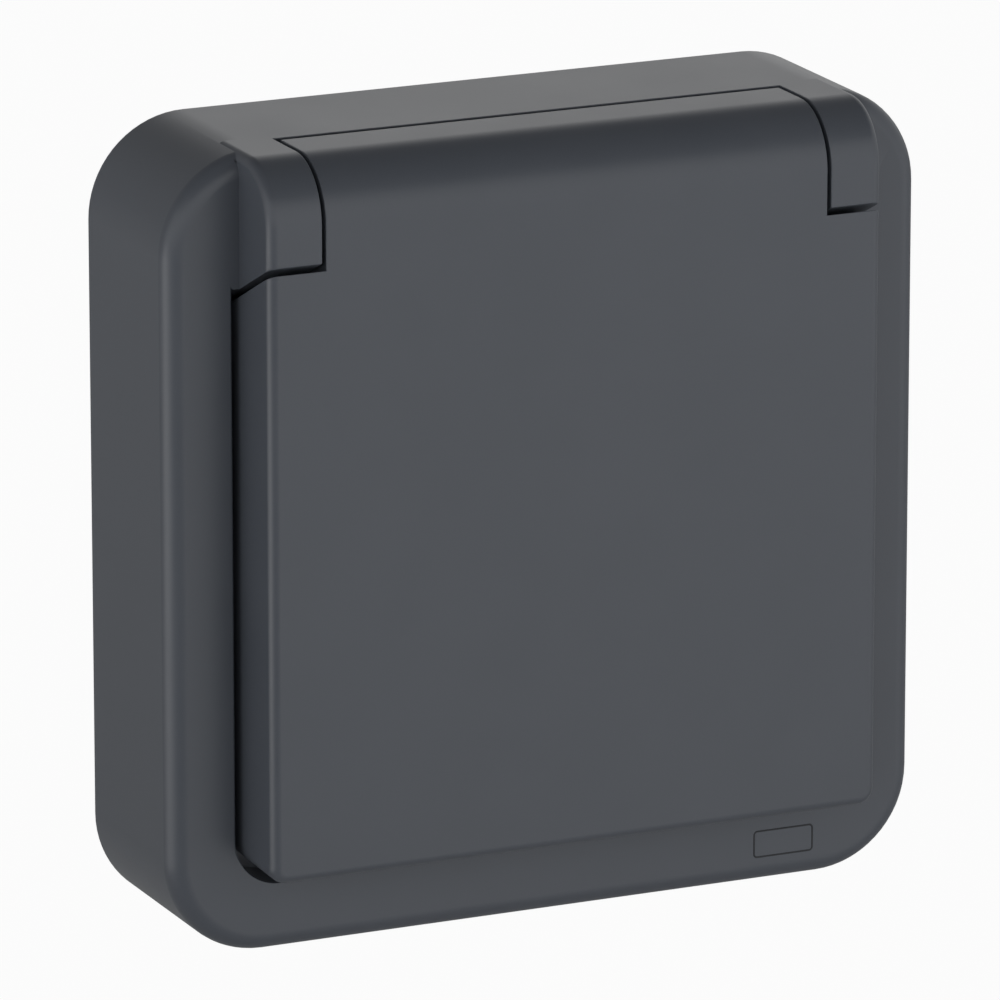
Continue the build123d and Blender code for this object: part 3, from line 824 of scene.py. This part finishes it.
floor_level = -0.15
floor_half = 4.0
floor_tone = 0.66
floor_weave = 0.03
floor_white = 0.96
floor_mirror = 0.1
pool_level = 0.88
pool_start = -0.28
pool_end = 0.06
pool_left = -0.22
pool_right = 0.10
side_level = 2.3
side_start = -0.45
side_end = -0.25
side_front = (-0.50, -0.15)
side_back = (0.40, 0.15)

# Camera, fitted to the photograph

camera_yaw = math.radians(24.526)
camera_pitch = math.radians(15.548)
camera_lens = 352.82
camera_distance = 0.971055
camera_right = 3.43 * mm
camera_up = -2.665 * mm
camera_clip = 0.01


def studio_world():
    """A wall of light, strongest in front, with its dim patches behind at the left and right."""
    world = bpy.data.worlds.new("studio")
    bpy.context.scene.world = world
    world.use_nodes = True
    sky = Tree(world.node_tree)
    direction = sky.node("ShaderNodeTexCoord", output="Generated")

    def towards(aim):
        sockets = {0: direction, 1: aim}
        return sky.node("ShaderNodeVectorMath", sockets, "Value", operation="DOT_PRODUCT")

    def glow(level):
        return sky.node("ShaderNodeBackground", {"Color": grey(1.0), "Strength": level})

    up = sky.node("ShaderNodeSeparateXYZ", {"Vector": direction}, "Z")
    ceiling = up.step(ceiling_start, ceiling_end)
    front = towards(front_light).step(front_start, front_end)
    wall = back_level + (front_level - back_level) * front
    behind = 1.0 - back_shade_depth * towards(back_shade).step(shade_start, shade_end)
    beside = 1.0 - right_shade_depth * towards(right_shade).step(shade_start, shade_end)
    level = wall * (behind * beside) * (1.0 - ceiling) + ceiling_level * ceiling
    seen = sky.node("ShaderNodeLightPath", output="Is Camera Ray")
    both = sky.node("ShaderNodeMixShader", {0: seen, 1: glow(level), 2: glow(backdrop_level)})
    sky.node("ShaderNodeOutputWorld", {"Surface": both})


def floor_finish():
    """Pale table top with its two pools of light; it stays white to the camera."""
    paint = Finish("pale_floor")

    def glow(level):
        return paint.node("ShaderNodeEmission", {"Color": grey(1.0), "Strength": level})

    across = paint.node("ShaderNodeSeparateXYZ", {"Vector": paint.place}, "X")
    depth = paint.node("ShaderNodeSeparateXYZ", {"Vector": paint.place}, "Y")
    ahead = depth.step(pool_end, pool_start) * across.step(pool_left, pool_right)
    beside = across.step(side_end, side_start) * depth.step(*side_back) * depth.step(*side_front)
    pools = glow(pool_level * ahead + side_level * beside * (1.0 - ahead))
    weave = paint.noise(40 * mm)
    colour = paint.blend(weave, grey(floor_tone), grey(floor_tone + floor_weave))
    matt = paint.node("ShaderNodeBsdfDiffuse", {"Color": colour, "Roughness": 0.5})
    lit = paint.node("ShaderNodeMixShader", {0: ahead.at_least(beside), 1: matt, 2: pools})
    seen = paint.node("ShaderNodeLightPath", output="Is Camera Ray")
    mirrored = paint.node("ShaderNodeLightPath", output="Is Glossy Ray")
    through = paint.node("ShaderNodeLightPath", output="Is Transmission Ray")
    white = (floor_white * seen).at_least(floor_mirror * mirrored.at_least(through))
    both = paint.node("ShaderNodeMixShader", {0: white, 1: lit, 2: glow(1.0)})
    paint.node("ShaderNodeOutputMaterial", {"Surface": both})
    return paint.material


def pale_floor():
    """A wide level table below the socket."""
    shape = bmesh.new()
    bmesh.ops.create_grid(shape, x_segments=8, y_segments=8, size=floor_half)
    bmesh.ops.translate(shape, verts=shape.verts, vec=(0.0, 0.0, floor_level))
    mesh = bpy.data.meshes.new("pale_floor")
    shape.to_mesh(mesh)
    shape.free()
    mesh.materials.append(floor_finish())
    table = bpy.data.objects.new("pale_floor", mesh)
    bpy.context.scene.collection.objects.link(table)


def photo_camera():
    """The photograph's viewing angle: from the left and a little above, with a long lens."""
    level = math.cos(camera_pitch)
    back = Vector((
        -math.sin(camera_yaw) * level, -math.cos(camera_yaw) * level, math.sin(camera_pitch)
    ))
    right = Vector((math.cos(camera_yaw), -math.sin(camera_yaw), 0.0))
    up = back.cross(right)
    data = bpy.data.cameras.new("photo_camera")
    data.lens = camera_lens
    data.clip_start = camera_clip
    camera = bpy.data.objects.new("photo_camera", data)
    bpy.context.scene.collection.objects.link(camera)
    place = back * camera_distance + right * camera_right + up * camera_up
    turn = Matrix((right, up, back)).transposed().to_4x4()
    camera.matrix_world = Matrix.Translation(place) @ turn
    bpy.context.scene.camera = camera


studio_world()
pale_floor()
photo_camera()
bpy.context.scene.view_settings.view_transform = "Standard"
